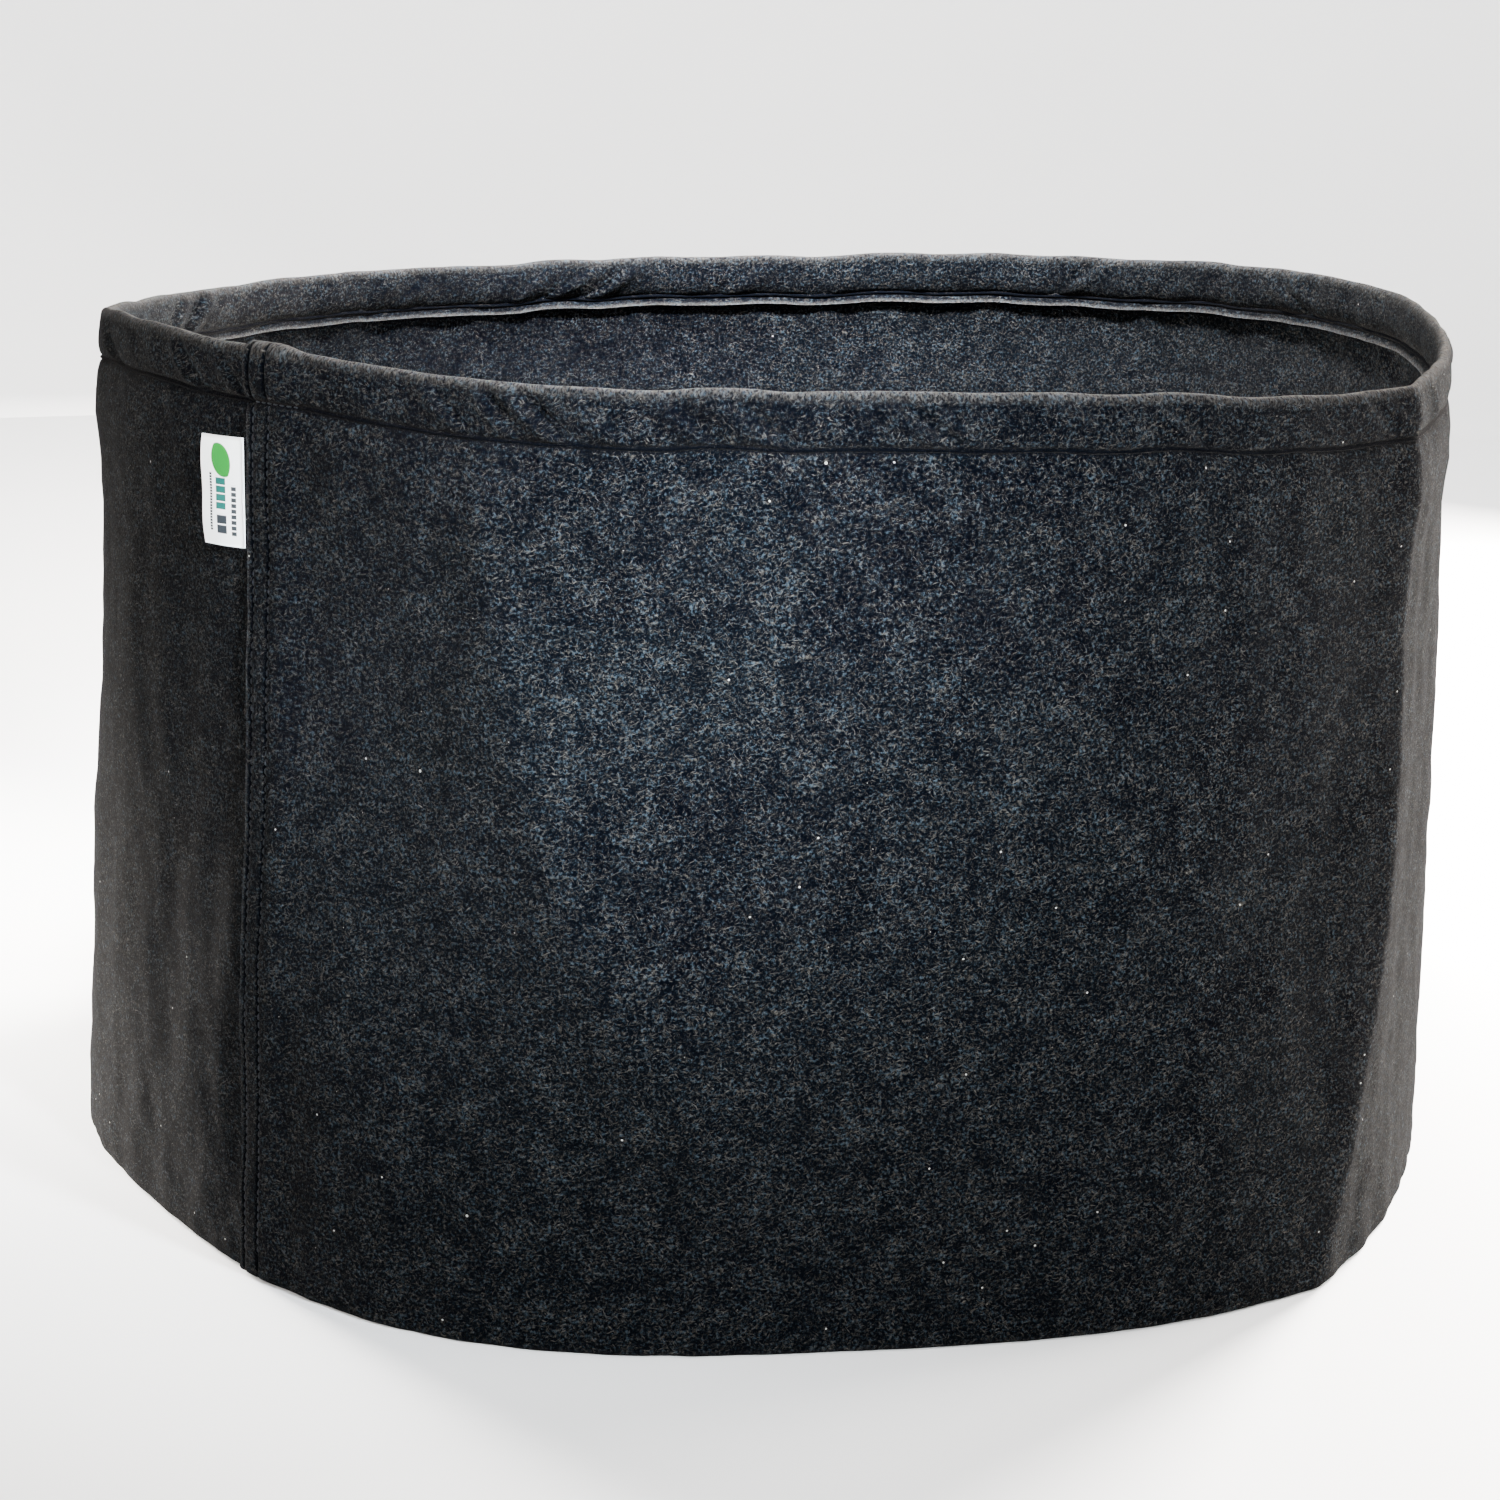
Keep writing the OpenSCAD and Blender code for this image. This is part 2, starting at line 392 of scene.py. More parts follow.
def build_wall():
    s = columns()
    path, run = section_path()
    cols, rows = len(s), len(path)
    S, J = np.meshgrid(s, np.arange(rows), indexing="ij")
    rho, z, out_r, out_z = (path[:, c][J] for c in range(4))
    lift = lap_lift(S)
    skins = [stand(S, rho, z, out_r, out_z, side, lift).reshape(-1, 3) for side in (1, -1)]
    uv = np.stack([S, run[J]], -1).reshape(-1, 2)
    inner_uv = uv + np.array([0.0, 1.7])
    # fibres stand up along the rim's fold and the cut edges, paler there, partly as painted
    # highlight
    rim = bump(rho, -FOLD_R - FELT / 2, 0.0016) * smooth(z, H - 0.006, H - 0.001)
    cut = smooth(run[J], run[-1] - 0.0026, run[-1] - 0.0014) * 0.62
    lap = np.maximum(bump(S, 0.0, 0.0016), bump(S, GIRTH + LAP_W, 0.003)) * 0.25
    fuzz_and_highlight = np.maximum(np.maximum(rim, cut), lap)
    # rows of stitches flatten the fibres, where the felt is darker, partly as painted shade in the
    # grooves
    pressed_and_groove_shade = bump(z, HEM_ROW_Z, HEM_PULL_WIDTH)
    for inset in SEAM_ROWS:
        pressed_and_groove_shade = np.maximum(pressed_and_groove_shade, 0.8 * bump(S, inset, SEAM_PULL_WIDTH))
    fuzz_and_highlight = (fuzz_and_highlight - pressed_and_groove_shade).ravel()
    obj = mesh_object("wall_felt", np.concatenate(skins), sheet_faces(cols, rows),
                      np.concatenate([uv, inner_uv]))
    set_fuzz_and_painted_light(obj, np.concatenate([fuzz_and_highlight, fuzz_and_highlight]))
    return obj


def wall_point(s, z, on_flap=False):
    """Points on the wall's outer face, or on the flap's inner face, and their outward directions."""
    rho = -FELT / 2 - (2 * FOLD_R if on_flap else 0)
    nr = -1.0 if on_flap else 1.0

    def at(ds, dz):
        full = np.full_like(s, rho)
        return stand(s + ds, full, z + dz, np.full_like(s, nr), 0 * s, 1, lap_lift(s + ds))

    e = 0.0006
    n = unit(np.cross(at(e, 0) - at(-e, 0), at(0, e) - at(0, -e)))
    return at(0, 0), -n if on_flap else n


# ---------------------------------------------------------------- stitches


def stitch_mesh(name, mids, alongs, outs, length, radius, arch, sides=6):
    """One short arched capsule of thread per stitch, its ends diving into the felt."""
    # places along a stitch, with the thread's height and thickness at each
    t = np.array([-0.5, -0.42, -0.22, 0.0, 0.22, 0.42, 0.5])
    height = arch * np.array([-2.2, -0.7, 0.7, 1.0, 0.7, -0.7, -2.2])
    fat = radius * np.array([0.35, 0.85, 1.0, 1.0, 1.0, 0.85, 0.35])
    ring = np.linspace(0, 2 * math.pi, sides, endpoint=False)
    across = np.cross(alongs, outs)
    verts = []
    for k in range(len(t)):
        centre = mids + alongs * (t[k] * length)[..., None] + outs * height[k]
        for w in ring:
            verts.append(centre + across * (fat[k] * math.cos(w)) + outs * (fat[k] * math.sin(w)))
    v = np.stack(verts, 1)
    count, per = v.shape[0], v.shape[1]
    local = []
    for k in range(len(t) - 1):
        for w in range(sides):
            a, b = k * sides + w, k * sides + (w + 1) % sides
            local.append((a, b, b + sides, a + sides))
    local = np.array(local)
    faces = (local[None] + (np.arange(count) * per)[:, None, None]).reshape(-1, 4)
    caps = []
    for c in range(count):
        caps.append(tuple(c * per + w for w in range(sides))[::-1])
        caps.append(tuple(c * per + per - sides + w for w in range(sides)))
    return mesh_object(name, v.reshape(-1, 3), [tuple(f) for f in faces] + caps)


def stitches_on_wall(name, s, z, along_s, on_flap=False):
    """Stitches whose middles lie at s, z on the wall, each turned a little at random."""
    p, n = wall_point(s, z, on_flap)
    e = 0.001
    q, _ = wall_point(s + (e if along_s else 0), z + (0 if along_s else e), on_flap)
    d = unit(q - p)
    skew = rng.normal(0, 0.05, len(p))
    d = d + np.cross(n, d) * skew[:, None]
    d = unit(d - n * (d * n).sum(-1, keepdims=True))
    length = STITCH_PITCH * (0.86 + 0.05 * rng.standard_normal(len(p)))
    return stitch_mesh(name, p, d, n, length, THREAD_R, STITCH_ARCH)


def build_stitches():
    """The hem's row outside and inside, and the side seam's two rows outside."""
    s = np.arange(0.006, GIRTH - 0.004, STITCH_PITCH)
    height = np.full_like(s, HEM_ROW_Z)
    outer = stitches_on_wall("hem_stitches_outside", s, height, True)
    inner = stitches_on_wall("hem_stitches_inside", s + STITCH_PITCH / 2, height, True, True)
    z = np.arange(0.016, HEM_ROW_Z - 0.003, STITCH_PITCH)
    rows = [stitches_on_wall(name, np.full_like(z, inset), z + shift, False)
            for name, inset, shift in (("seam_stitches_edge", SEAM_ROWS[0], 0.0),
                                       ("seam_stitches_inner", SEAM_ROWS[1], STITCH_PITCH / 3))]
    return outer, inner, rows


# ---------------------------------------------------------------- inside rows and the base


def inner_wall_point(s, z, depth):
    """A point that lies depth inward from the wall's outer face."""
    full = np.full_like(s, -depth)
    return stand(s, full, z, np.ones_like(s), 0 * s, 0, 0 * s)


def rows_inside():
    """Bobbin side of the side seam, on the wall's inner face."""
    pieces = []
    z = np.arange(0.026, H - HEM_DEPTH - 0.006, STITCH_PITCH)
    face = FELT + 0.0001
    for name, inset in (("seam_stitches_edge_inside", SEAM_ROWS[0]),
                        ("seam_stitches_inner_inside", SEAM_ROWS[1])):
        s = np.full_like(z, inset)
        p = inner_wall_point(s, z, face)
        d = unit(inner_wall_point(s, z + 0.001, face) - p)
        n = unit(inner_wall_point(s, z, face + 0.002) - p)
        length = np.full(len(z), STITCH_PITCH * 0.86)
        pieces.append(stitch_mesh(name, p, d, n, length, THREAD_R, STITCH_ARCH))
    return pieces


BASE_CORNER = 0.005                 # outside radius of the base panel's rounded edge
BASE_LUMPS, BASE_DENTS, BASE_CREASES = 0.0011, 0.0006, 0.0012


def base_edge(a):
    """Outer radius of the base panel: inside the wall and its turned-up edge."""
    return wall_radius(a, 0.006) - 2 * (FELT + GAP) - 0.0006


def base_profile():
    """Middle line of the base from its centre to the top of its turned-up edge."""
    flat = np.concatenate([np.linspace(0.03, 0.92, 24), np.linspace(0.92, 1.0, 6)[1:]])
    pts = [("flat", t) for t in flat]
    pts += [("corner", t) for t in np.linspace(0, math.pi / 2, 6)[1:]]
    pts += [("up", z) for z in np.linspace(BASE_CORNER, TURN_UP, 4)[1:]]
    return pts


def base_point(a, kind, t, side):
    """Points round the base at one place of its profile; side is 1 or -1 for its two faces. The
    middle of the panel lies unevenly on the floor, with two slight creases."""
    edge = base_edge(a)
    half = FELT / 2 * side
    mid_r = BASE_CORNER - FELT / 2
    if kind == "flat":
        r, z = (edge - BASE_CORNER) * t, FELT / 2 - half
    elif kind == "corner":
        r = edge - BASE_CORNER + (mid_r + half) * math.sin(t)
        z = BASE_CORNER - (mid_r + half) * math.cos(t)
    else:
        r, z = edge - FELT / 2 + half, t
    x, y = r * np.sin(a), CENTRE_Y - r * np.cos(a)
    give = 1 - smooth(r, 0.30, 0.385)
    lift = give * (2 * BASE_LUMPS + BASE_LUMPS * broad(x * 2.4, y * 2.4)
                   + BASE_DENTS * felt_lumps(x, y))
    crease = bump(x * 0.8 + y * 0.6, 0.02, 0.012) + 0.7 * bump(y * 0.9 - x * 0.43, -0.05, 0.010)
    lift = np.maximum(lift + give * BASE_CREASES * crease, 0)
    return np.stack([x, y, z + lift], -1)


def build_base():
    count = 300
    a = np.linspace(0, 2 * math.pi, count, endpoint=False)
    profile = base_profile()
    rows = len(profile)
    verts, uvs = [], []
    for side in (1, -1):
        for kind, t in profile:
            p = base_point(a, kind, t, side)
            verts.append(p)
            uvs.append(p[:, :2] + (0 if side > 0 else 3.1))
    n = rows * count
    verts = np.concatenate(verts)
    uvs = np.concatenate(uvs)
    faces = []
    i = np.arange(count)
    nxt = (i + 1) % count
    for layer, flip in ((0, False), (1, True)):
        for j in range(rows - 1):
            o = layer * n + j * count
            q = np.stack([o + i, o + count + i, o + count + nxt, o + nxt], -1)
            faces.append(q[:, ::-1] if flip else q)
    o = (rows - 1) * count
    faces.append(np.stack([o + i, n + o + i, n + o + nxt, o + nxt], -1))
    faces = [tuple(f) for f in np.concatenate(faces)]
    for layer, side in ((0, 1), (1, -1)):
        middle = len(verts)
        verts = np.concatenate([verts, base_point(a[:1], "flat", 0.0, side)])
        uvs = np.concatenate([uvs, uvs[layer * n: layer * n + count].mean(0, keepdims=True)])
        for k in range(count):
            tri = (layer * n + k, layer * n + (k + 1) % count, middle)
            faces.append(tri if layer else tri[::-1])
    return mesh_object("base_felt", verts, faces, uvs)


def base_rows():
    """Both faces of the row of stitches that joins the base to the wall."""
    a = np.arange(0, 2 * math.pi, STITCH_PITCH / FOOT_R)
    outward = np.stack([np.sin(a), -np.cos(a), 0 * a], -1)
    length = np.full(len(a), STITCH_PITCH * 0.84)
    pieces = []
    for name, side, depth, radius, arch in (
            ("base_stitches_inside", -1, 0.0, THREAD_R, STITCH_ARCH),
            ("base_stitches_hidden", 1, FELT + GAP + 0.0001, 0.00016, 0.0001)):
        p = base_point(a, "up", BASE_ROW_Z, side) + outward * depth
        d = unit(np.roll(p, -1, 0) - np.roll(p, 1, 0))
        pieces.append(stitch_mesh(name, p, d, outward * side, length, radius, arch))
    return pieces


# ---------------------------------------------------------------- the label

LABEL_W, LABEL_H = 0.031, 0.057
LABEL_TOP = H - 0.040
HINGE = (-0.0009, -0.4043)          # the label swings about an upright line here
LABEL_ANGLE = math.radians(3.0)
TAPE = 0.0005
# the end curves out by a share of the tape's reach; it bows, twists, ripples and sags by heights
END_CURVE, BOW, TWIST, RIPPLE, SAG = 0.055, 0.0010, 0.0004, 0.0005, 0.0006


def build_label():
    """One tape folded back on itself, bowed a little; its leaves touch near the seam."""
    cols, rows, bend = 26, 30, 7
    reach = LABEL_W - TAPE * 1.5
    us = np.concatenate([np.linspace(0, 1, cols), [1.0] * bend, np.linspace(1, 0, cols)])
    turn = np.concatenate([np.zeros(cols), np.linspace(0, math.pi, bend + 2)[1:-1],
                           np.full(cols, math.pi)])
    path = np.cumsum(np.concatenate([[0], np.abs(np.diff(us)) * reach + 0.0002]))
    v = np.linspace(0, 1, rows)
    U, V = np.meshgrid(us, v, indexing="ij")
    T, P = (np.meshgrid(values, v, indexing="ij")[0] for values in (turn, path))
    c, s = math.cos(LABEL_ANGLE), math.sin(LABEL_ANGLE)
    skins = []
    for face in (1, -1):
        radius = TAPE * (0.75 + face * 0.45)
        along = reach * U * (1 + END_CURVE * np.sin(math.pi * V)) + radius * np.sin(T)
        bow = (BOW * np.sin(math.pi * U) + TWIST * U ** 2 * (2 * V - 1)
               + RIPPLE * np.sin(3 * math.pi * V) * U)
        x, y = -along, -(radius * np.cos(T) + bow)
        z = LABEL_TOP - LABEL_H * (1 - V) - SAG * U
        skins.append(np.stack([HINGE[0] + x * c - y * s, HINGE[1] + x * s + y * c, z],
                              -1).reshape(-1, 3))
    uv = np.stack([P / LABEL_W, V], -1).reshape(-1, 2)
    return mesh_object("label_tape", np.concatenate(skins), sheet_faces(len(us), rows),
                       np.concatenate([uv, uv]))


# ---------------------------------------------------------------- materials


class Nodes:
    """Small helper for building a node material."""

    def __init__(self, name):
        self.mat = bpy.data.materials.new(name)
        self.mat.use_nodes = True
        self.tree = self.mat.node_tree
        self.shader = self.tree.nodes["Principled BSDF"]

    def new(self, kind, inputs=(), **props):
        node = self.tree.nodes.new(kind)
        for key, value in props.items():
            setattr(node, key, value)
        for key, value in dict(inputs).items():
            self.put(node.inputs[key], value)
        return node

    def put(self, socket, value):
        if isinstance(value, bpy.types.NodeSocket):
            self.tree.links.new(value, socket)
        else:
            socket.default_value = value

    def math(self, op, a, b=0.0, c=0.0):
        return self.new("ShaderNodeMath", {0: a, 1: b, 2: c}, operation=op).outputs[0]

    def span(self, value, lo, hi, to_lo=0.0, to_hi=1.0):
        node = self.new("ShaderNodeMapRange", {0: value, 1: lo, 2: hi, 3: to_lo, 4: to_hi},
                        interpolation_type="SMOOTHSTEP")
        return node.outputs[0]

    def mix(self, factor, a, b):
        node = self.new("ShaderNodeMix", data_type="RGBA")
        self.put(node.inputs[0], factor)
        self.put(node.inputs[6], a)
        self.put(node.inputs[7], b)
        return node.outputs[2]

    def bump(self, height, strength, distance):
        node = self.new("ShaderNodeBump", {"Strength": strength, "Distance": distance,
                                           "Height": height})
        self.put(self.shader.inputs["Normal"], node.outputs[0])

    def noise(self, vector, scale, detail=2.0, rough=0.5):
        node = self.new("ShaderNodeTexNoise", {"Vector": vector, "Scale": scale, "Detail": detail,
                                               "Roughness": rough})
        return node.outputs["Fac"]


def streaks(m, uv, turn, along, across, seed):
    """Short fibres: noise stretched along one direction of the cloth."""
    mapping = m.new("ShaderNodeMapping", {"Vector": uv, "Rotation": (0, 0, math.radians(turn)),
                                          "Location": (seed, seed * 0.37, seed * 0.11)})
    bend = m.new("ShaderNodeTexNoise", {"Vector": uv, "Scale": 160.0, "Detail": 1.0})
    shift = m.new("ShaderNodeVectorMath", {0: bend.outputs["Color"], 1: (0.5, 0.5, 0.5)},
                  operation="SUBTRACT")
    small = m.new("ShaderNodeVectorMath", {0: shift.outputs[0], 3: 0.003}, operation="SCALE")
    add = m.new("ShaderNodeVectorMath", {0: mapping.outputs[0], 1: small.outputs[0]},
                operation="ADD")
    scale = m.new("ShaderNodeVectorMath", {0: add.outputs[0], 1: (1 / along, 1 / across, 1)},
                  operation="MULTIPLY")
    return m.noise(scale.outputs[0], 1.0, 2.0, 0.55)


# colours of the felt's fibres, before the tone that each piece of felt gives; the edges' paler fuzz
# colour is partly painted highlight
FELT_SHADES = {"dark": (0.0009, 0.0013, 0.0024), "cool": (0.034, 0.048, 0.060),
               "warm": (0.048, 0.044, 0.038), "fibre": (0.125, 0.118, 0.105),
               "edge_fuzz_highlight": (0.115, 0.104, 0.093)}
SPECK = (0.36, 0.36, 0.34, 1)
WALL_TONE = 0.58
BASE_TONE = WALL_TONE * 0.9
# noise scales, in waves per metre of felt
CLOUDS, MOTTLES, BLUES, TUFTS, GRAINS = 48.0, 150.0, 330.0, 560.0, 1900.0
# fibres: their length and width in metres, and their directions in degrees with a seed for each
FIBRE_LONG, FIBRE_WIDE = 0.0042, 0.00060
FIBRE_TURNS = [(8, 1.3), (-24, 4.1), (52, 7.7), (-63, 9.2)]


def felt_material(name, tone):
    """Needle felt: dark fibres with paler ones through them, in soft clouds."""
    m = Nodes(name)
    uv = m.new("ShaderNodeUVMap", uv_map="felt_uv").outputs[0]
    cloud = m.noise(uv, CLOUDS, 5.0, 0.60)
    tuft = m.noise(uv, TUFTS, 6.0, 0.72)
    grain = m.noise(uv, GRAINS, 2.0, 0.6)
    mottle = m.math("SUBTRACT", m.noise(uv, MOTTLES, 3.0, 0.6), 0.5)
    # the attribute holds paler edge fuzz with painted highlight above 0, and flattened felt with
    # painted groove shade below 0
    state = m.new("ShaderNodeAttribute", attribute_name="fuzz_and_highlight").outputs["Fac"]
    fuzz_and_highlight, pressed_and_groove_shade = m.math("MAXIMUM", state, 0.0), m.math("MINIMUM", state, 0.0)
    fibres = None
    for turn, seed in FIBRE_TURNS:
        some = m.span(streaks(m, uv, turn, FIBRE_LONG, FIBRE_WIDE, seed), 0.62, 0.78)
        fibres = some if fibres is None else m.math("MAXIMUM", fibres, some)
    level = m.math("ADD", m.math("MULTIPLY", tuft, 0.86), m.math("MULTIPLY_ADD", cloud, 0.15, 0.06))
    # flattened rows lower the level: darker felt, partly painted shade in the grooves
    for part, share in ((grain, 0.16), (mottle, 0.22), (fuzz_and_highlight, 0.10), (pressed_and_groove_shade, 0.22)):
        level = m.math("MULTIPLY_ADD", part, share, level)
    shade = {key: tuple(c * tone for c in rgb) + (1,) for key, rgb in FELT_SHADES.items()}
    blue = m.span(m.noise(uv, BLUES, 3.0, 0.55), 0.42, 0.62)
    pale = m.mix(blue, shade["cool"], shade["warm"])
    colour = m.mix(m.span(level, 0.63, 0.86), shade["dark"], pale)
    # edges take the paler colour in patches: fuzz, partly painted highlight
    patchy = m.span(m.noise(uv, 900.0, 3.0, 0.6), 0.38, 0.62, 0.0, 0.70)
    colour = m.mix(m.math("MULTIPLY", fuzz_and_highlight, patchy), colour, shade["edge_fuzz_highlight"])
    strand = m.math("MULTIPLY", fibres, m.span(cloud, 0.3, 0.7, 0.28, 0.62))
    # fewer pale fibres in the flattened rows, part of the painted groove shade
    strand = m.math("MULTIPLY", strand, m.math("ADD", pressed_and_groove_shade, 1.0))
    colour = m.mix(strand, colour, shade["fibre"])
    speck = m.span(m.noise(uv, BLUES, 0.0, 0.4), 0.882, 0.904)
    colour = m.mix(m.math("MULTIPLY", speck, 0.6), colour, SPECK)
    m.put(m.shader.inputs["Base Color"], colour)
    m.shader.inputs["Roughness"].default_value = 0.95
    m.shader.inputs["Specular IOR Level"].default_value = 0.0
    m.shader.inputs["Sheen Weight"].default_value = 0.02
    m.shader.inputs["Sheen Roughness"].default_value = 0.45
    m.shader.inputs["Sheen Tint"].default_value = (0.95, 0.88, 0.82, 1)
    height = m.math("MULTIPLY_ADD", fibres, 0.30, m.math("MULTIPLY_ADD", grain, 0.4, tuft))
    m.bump(height, 0.55, 0.0012)
    return m.mat


THREAD_DARK, THREAD_PALE = (0.0035, 0.0045, 0.006, 1), (0.016, 0.019, 0.023, 1)


def thread_material():
    """Twisted dark thread."""
    m = Nodes("thread")
    at = m.new("ShaderNodeTexCoord").outputs["Object"]
    twist = m.noise(at, 2600.0, 2.0, 0.5)
    m.put(m.shader.inputs["Base Color"],
          m.mix(m.span(twist, 0.35, 0.65), THREAD_DARK, THREAD_PALE))
    m.put(m.shader.inputs["Roughness"], m.span(twist, 0.3, 0.7, 0.6, 0.8))
    m.shader.inputs["Specular IOR Level"].default_value = 0.10
    m.bump(twist, 0.5, 0.0002)
    return m.mat


TAPE_WHITE, TAPE_GREY = (0.93, 0.97, 0.97, 1), (0.84, 0.88, 0.90, 1)
# painted shade on the tape next to the seam, where it curves out
TAPE_ROOT_SHADE = (0.45, 0.48, 0.50, 1)   # the tape is shaded where the seam holds it
LEAF_GREEN = (0.0, 0.17, 0.015)
# the leaf is where two discs overlap: centre, as shares of the label's width and height, and radii
LEAF_DISCS = [(0.648, 0.747, 0.345, 0.188), (0.481, 0.814, 0.345, 0.188)]
# rows of short dashes: from and to across, from and to upward, how many, share inked; colour
DASHES = [((0.45, 0.72, 0.33, 0.63, 4, 0.84), (0.0, 0.085, 0.075)),
          ((0.43, 0.70, 0.11, 0.29, 2, 0.86), (0.014, 0.020, 0.026)),
          ((0.17, 0.30, 0.10, 0.56, 9, 0.74), (0.020, 0.026, 0.030)),
          ((0.83, 0.90, 0.13, 0.66, 20, 0.80), (0.004, 0.008, 0.012))]


def label_material():
    """Satin tape with a printed leaf and rows of dashes, and no lettering."""
    m = Nodes("label_tape")
    uv = m.new("ShaderNodeUVMap", uv_map="felt_uv").outputs[0]
    split = m.new("ShaderNodeSeparateXYZ", {0: uv})
    u, v = split.outputs[0], split.outputs[1]

    def bar(u0, u1, v0, v1, soft=0.006):
        a = m.math("MULTIPLY", m.span(u, u0 - soft, u0 + soft), m.span(u, u1 + soft, u1 - soft))
        b = m.math("MULTIPLY", m.span(v, v0 - soft, v0 + soft), m.span(v, v1 + soft, v1 - soft))
        return m.math("MULTIPLY", a, b)

    def disc(u0, v0, ru, rv):
        a = m.math("POWER", m.math("DIVIDE", m.math("SUBTRACT", u, u0), ru), 2.0)
        b = m.math("POWER", m.math("DIVIDE", m.math("SUBTRACT", v, v0), rv), 2.0)
        return m.span(m.math("ADD", a, b), 1.06, 0.94)

    def dashes(u0, u1, v0, v1, count, share):
        """A bar broken along its length into short dashes."""
        phase = m.math("FRACT", m.math("MULTIPLY", m.math("SUBTRACT", v, v0), count / (v1 - v0)))
        return m.math("MULTIPLY", bar(u0, u1, v0, v1), m.span(phase, share + 0.06, share - 0.06))

    weave = m.new("ShaderNodeTexWave", {"Vector": uv, "Scale": 34.0, "Distortion": 0.6},
                  bands_direction="X")
    cross = m.new("ShaderNodeTexWave", {"Vector": uv, "Scale": 58.0, "Distortion": 0.6},
                  bands_direction="Y")
    threads = m.math("MULTIPLY", weave.outputs["Fac"], cross.outputs["Fac"])
    soil = m.noise(uv, 5.0, 4.0, 0.6)
    colour = m.mix(m.span(soil, 0.35, 0.75, 0.0, 0.5), TAPE_WHITE, TAPE_GREY)
    leaf = m.math("MULTIPLY", *(disc(*place) for place in LEAF_DISCS))
    for mark, tint in [(leaf, LEAF_GREEN)] + [(dashes(*row), ink) for row, ink in DASHES]:
        colour = m.mix(mark, colour, tint + (1,))
    # painted shade along the tape's end at the seam
    root_shade = m.span(u, 0.10, 0.02)
    colour = m.mix(m.math("MULTIPLY", root_shade, 0.35), colour, TAPE_ROOT_SHADE)
    m.put(m.shader.inputs["Base Color"], colour)
    m.put(m.shader.inputs["Roughness"], m.span(threads, 0.0, 1.0, 0.52, 0.38))
    m.shader.inputs["Specular IOR Level"].default_value = 0.10
    m.bump(threads, 0.25, 0.0002)
    return m.mat


# ---------------------------------------------------------------- put it together

wall = build_wall()
base = build_base()
outer, inner, rows = build_stitches()
bobbins = rows_inside()
base_in, base_hidden = base_rows()
label = build_label()

materials = {"wall_felt": felt_material("wall_felt", WALL_TONE),
             "base_felt": felt_material("base_felt", BASE_TONE),
             "thread": thread_material(), "label_tape": label_material()}
# each piece with the node that it replaces and its material slot
pieces = {wall: ("wall_panel", "wall_felt"), base: ("base_panel", "base_felt"),
          outer: ("hem_needle_thread", "thread"), inner: ("hem_bobbin_thread", "thread"),
          rows[0]: ("edge_row_needle_thread", "thread"),
          rows[1]: ("inner_row_needle_thread", "thread"),
          bobbins[0]: ("edge_row_bobbin_thread", "thread"),
          bobbins[1]: ("inner_row_bobbin_thread", "thread"),
          base_in: ("base_needle_thread", "thread"), base_hidden: ("base_bobbin_thread", "thread"),
          label: ("label", "label_tape")}
for piece, (node, slot) in pieces.items():
    piece.data.materials.append(materials[slot])
    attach(piece, "label" if piece is label else "bag")
    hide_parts(node)

# ---------------------------------------------------------------- stage and light


def make_stage():
    """A pale floor that curves up all round, far outside the bag."""
    mesh = bpy.data.meshes.new("floor")
    sides, reach, bend, top = 96, 3.2, 2.0, 4.0
    rings = [(0.0, 0.0), (reach, 0.0)]
    rings += [(reach + bend * math.sin(t), bend * (1 - math.cos(t)))
              for t in np.linspace(0, math.pi / 2, 17)[1:]] + [(reach + bend, top)]
    turn = np.linspace(0, 2 * math.pi, sides, endpoint=False)
    verts = [(r * math.cos(t), r * math.sin(t), z) for r, z in rings[1:] for t in turn]
    faces = [tuple(range(sides))]
    for k in range(len(rings) - 2):
        faces += [(k * sides + i, k * sides + (i + 1) % sides,
                   (k + 1) * sides + (i + 1) % sides, (k + 1) * sides + i) for i in range(sides)]
    mesh.from_pydata(verts, [], faces)
    mesh.polygons.foreach_set("use_smooth", [k > 0 for k in range(len(faces))])
    floor = bpy.data.objects.new("floor", mesh)
    bpy.context.collection.objects.link(floor)
    m = Nodes("floor")
    at = m.new("ShaderNodeTexCoord").outputs["Object"]
    m.put(m.shader.inputs["Base Color"],
          m.mix(m.noise(at, 3.0, 3.0, 0.5), (0.80, 0.80, 0.80, 1), (0.84, 0.84, 0.84, 1)))
    m.shader.inputs["Roughness"].default_value = 0.7
    mesh.materials.append(m.mat)


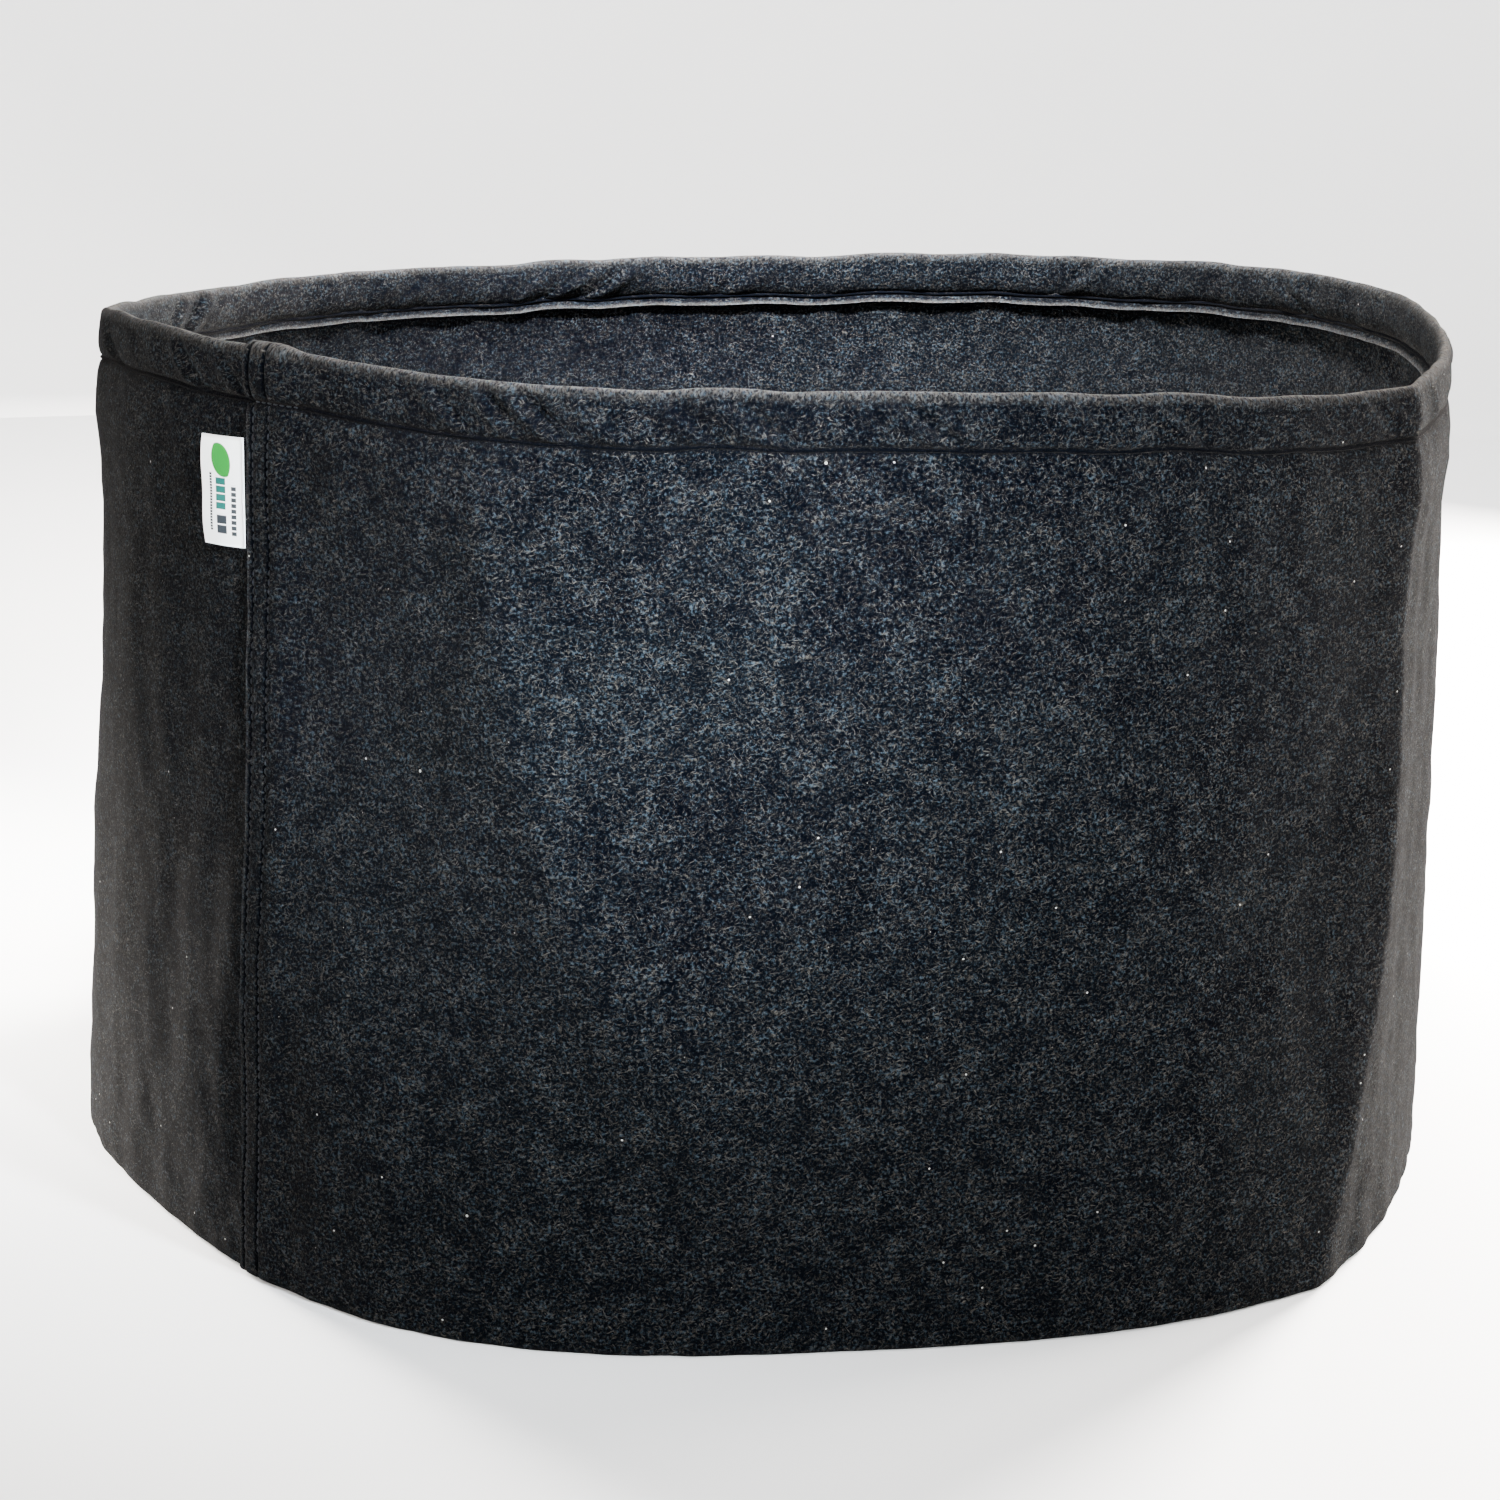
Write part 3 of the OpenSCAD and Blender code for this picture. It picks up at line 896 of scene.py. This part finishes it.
def area_light(name, place, target, size, watts, colour=(1, 1, 1), spread=180):
    """A round light that faces its target; its spread is in degrees."""
    data = bpy.data.lights.new(name, "AREA")
    data.shape, data.size, data.energy, data.color = "DISK", size, watts, colour
    data.spread = math.radians(spread)
    light = bpy.data.objects.new(name, data)
    bpy.context.collection.objects.link(light)
    p, t = np.array(place, float), np.array(target, float)
    back = unit(p - t)
    side = unit(np.cross([0, 0.001, 1.0], back))
    up = np.cross(back, side)
    light.matrix_world = Matrix([[side[i], up[i], back[i], p[i]] for i in range(3)]
                                + [[0, 0, 0, 1]])


def round_the_bag(degrees_from_camera, distance, height):
    """A place at a distance from the bag's axis."""
    a = AZIMUTH + math.radians(degrees_from_camera)
    return (math.sin(a) * distance, -math.cos(a) * distance, height)


COOL, COOLER, PALE_COOL = (0.86, 0.93, 1.0), (0.82, 0.91, 1.0), (0.92, 0.95, 1.0)
WARM, MILD, PALE_WARM = (1.0, 0.95, 0.90), (1.0, 0.96, 0.91), (1.0, 0.96, 0.90)
MIDDLE = (0, 0, 0.25)

make_stage()
world = bpy.data.worlds.new("studio")
world.use_nodes = True
world.node_tree.nodes["Background"].inputs[0].default_value = (0.97, 0.98, 1.0, 1)
world.node_tree.nodes["Background"].inputs[1].default_value = 0.24
bpy.context.scene.world = world
area_light("key", round_the_bag(37, 2.2, 1.2), round_the_bag(-5, 0.4, 0.36), 0.3, 5.6, COOL, 23)
area_light("sheen", round_the_bag(22, 2.0, 1.1), round_the_bag(-11, 0.4, 0.38), 0.2, 3.1,
           COOLER, 14)
area_light("right", round_the_bag(112, 2.2, 0.6), MIDDLE, 0.8, 190, WARM)
area_light("right_rear", round_the_bag(138, 2.2, 0.8), MIDDLE, 0.8, 1100, WARM)
area_light("left", round_the_bag(-130, 1.7, 0.2), round_the_bag(-88, 0.4, 0.0), 0.5, 27, MILD, 30)
area_light("inside", round_the_bag(0, 0.9, 2.2), round_the_bag(-178, 0.39, 0.40), 0.3, 36,
           PALE_COOL, 28)
area_light("inside_right", round_the_bag(-60, 2.2, 1.3), round_the_bag(88, 0.39, 0.47), 0.3, 2.4,
           PALE_WARM, 14)
area_light("overhead", round_the_bag(70, 1.6, 4.0), (0, 0, 0), 2.6, 180)
area_light("backdrop", round_the_bag(180, 1.6, 3.4), round_the_bag(180, 5.2, 1.4), 3.0, 300)
